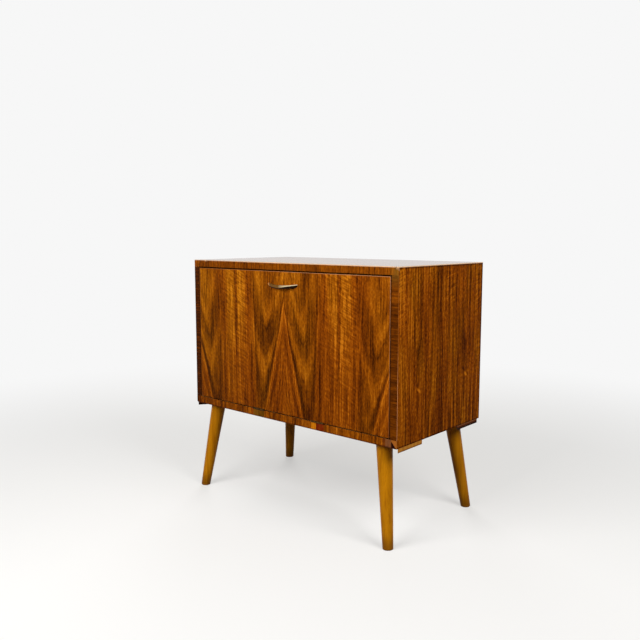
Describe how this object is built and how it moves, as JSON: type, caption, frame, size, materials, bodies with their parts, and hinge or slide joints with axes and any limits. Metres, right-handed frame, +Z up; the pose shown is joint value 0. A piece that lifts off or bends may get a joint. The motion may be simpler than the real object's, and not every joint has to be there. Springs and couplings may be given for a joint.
{
  "type": "cellarette",
  "caption": "Low drinks cabinet with a fall-front flap on hinges and slotted stays, a drooping bow handle, an inner shelf and round splayed legs.",
  "frame": {"origin": "on the floor, under the middle of the outline seen from above, handle included", "axes": "+X to the right of someone facing the flap, +Y from the flap to the back, +Z up"},
  "size_m": [0.734, 0.4032, 0.681],
  "materials": {
    "carcass_veneer": "polished walnut veneer with a satin lacquer",
    "flap_veneer": "book-matched walnut veneer with a satin lacquer",
    "edge_veneer": "cross-grained walnut edge veneer, lacquered",
    "inside_wood": "plain lacquered wood",
    "plywood": "bare plywood",
    "leg_wood": "honey-stained turned wood, lacquered",
    "plate_wood": "plain planed wood, oiled",
    "aged_brass": "aged brass, softly worn",
    "bright_brass": "brushed brass",
    "steel": "zinc-plated steel",
    "catch_plastic": "dark moulded plastic",
    "magnet": "sintered magnet"
  },
  "bodies": {
    "carcass": {"bottom_panel": "carcass_veneer", "right_side_panel": "carcass_veneer", "top_panel": "carcass_veneer", "left_side_panel": "carcass_veneer", "corner_splines": "inside_wood", "top_edge_veneer": "edge_veneer", "bottom_edge_veneer": "edge_veneer", "left_edge_veneer": "edge_veneer", "right_edge_veneer": "edge_veneer", "back_panel": "plywood", "back_screws": "steel", "shelf": "inside_wood", "shelf_pins": "bright_brass", "left_hinge_fixed_leaf": "bright_brass", "left_hinge_pin": "steel", "right_hinge_fixed_leaf": "bright_brass", "right_hinge_pin": "steel", "hinge_fixed_leaf_screws": "bright_brass", "left_stay_stud": "bright_brass", "right_stay_stud": "bright_brass", "catch_case": "catch_plastic", "catch_magnet": "magnet", "catch_screws": "steel", "front_left_leg": "leg_wood", "front_right_leg": "leg_wood", "rear_left_leg": "leg_wood", "rear_right_leg": "leg_wood", "leg_dowel_screws": "steel", "front_left_leg_plate": "plate_wood", "front_right_leg_plate": "plate_wood", "rear_left_leg_plate": "plate_wood", "rear_right_leg_plate": "plate_wood", "leg_plate_screws": "steel"},
    "flap": {"flap_panel": "flap_veneer", "flap_top_edge_veneer": "edge_veneer", "flap_left_edge_veneer": "edge_veneer", "flap_right_edge_veneer": "edge_veneer", "handle": "aged_brass", "handle_screws": "steel", "left_hinge_flap_leaf": "bright_brass", "right_hinge_flap_leaf": "bright_brass", "hinge_flap_leaf_screws": "bright_brass", "left_stay_rivet": "bright_brass", "left_stay_bracket": "bright_brass", "right_stay_rivet": "bright_brass", "right_stay_bracket": "bright_brass", "stay_bracket_screws": "bright_brass", "catch_keeper": "steel", "keeper_screws": "steel"},
    "left_stay_arm": {"left_stay_arm": "bright_brass"},
    "right_stay_arm": {"right_stay_arm": "bright_brass"}
  },
  "joints": [
    {"name": "flap_drop", "type": "hinge", "parent": "carcass", "child": "flap", "pos_m": [0, -0.18744, 0.2745], "axis": [1, 0, 0], "range_deg": [0, 90]},
    {"name": "left_stay_swing", "type": "hinge", "parent": "flap", "child": "left_stay_arm", "pos_m": [-0.345, -0.15944, 0.4145], "axis": [1, 0, 0], "range_deg": [-45, 0]},
    {"name": "right_stay_swing", "type": "hinge", "parent": "flap", "child": "right_stay_arm", "pos_m": [0.345, -0.15944, 0.4145], "axis": [1, 0, 0], "range_deg": [-45, 0]}
  ],
  "couplings": [
    {"joint": "left_stay_swing", "follows": "flap_drop", "ratio": -0.5},
    {"joint": "right_stay_swing", "follows": "flap_drop", "ratio": -0.5}
  ]
}
